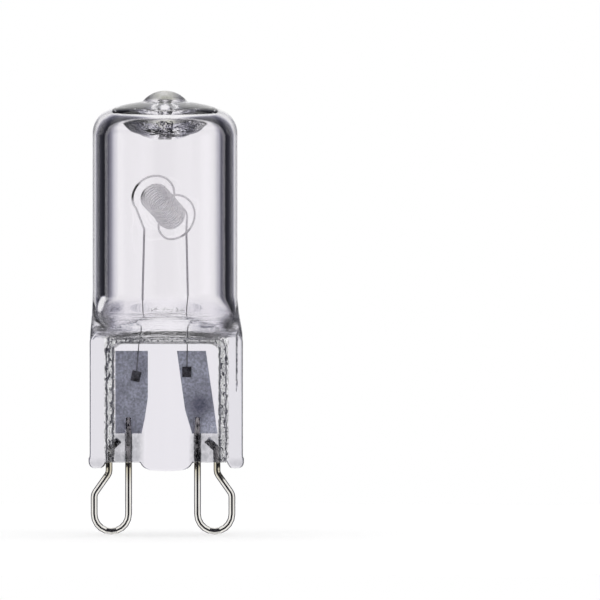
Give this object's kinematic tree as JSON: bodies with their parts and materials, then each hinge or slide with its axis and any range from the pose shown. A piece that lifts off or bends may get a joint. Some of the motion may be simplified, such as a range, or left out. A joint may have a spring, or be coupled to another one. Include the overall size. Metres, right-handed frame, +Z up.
{
  "type": "halogen capsule bulb",
  "caption": "Clear glass capsule bulb with a coiled filament, a flat pinched foot and wire contact loops that plug into a lampholder.",
  "frame": {"origin": "on the tube's axis at the foot of the pinch, where the lampholder's seat meets the glass", "axes": "+Z up the tube's axis towards the dome, +X along the pinch's width, from the left loop to the right one, +Y towards the back"},
  "size_m": [0.0135, 0.0126, 0.0387],
  "materials": {
    "clear_glass": "clear, polished",
    "tungsten": "satin grey, finely coiled",
    "sealing_foil": "matt, mottled slate grey",
    "nickel_wire": "bright drawn wire",
    "weld_patch": "dark, cross-hatched"
  },
  "bodies": {
    "root": {"glass_envelope": "clear_glass", "filament": "tungsten", "foil_left": "sealing_foil", "foil_right": "sealing_foil", "contact_loop_left": "nickel_wire", "contact_loop_right": "nickel_wire", "inner_lead_left": "tungsten", "inner_lead_right": "tungsten", "weld_tab_left": "weld_patch", "weld_tab_right": "weld_patch"}
  },
  "joints": []
}
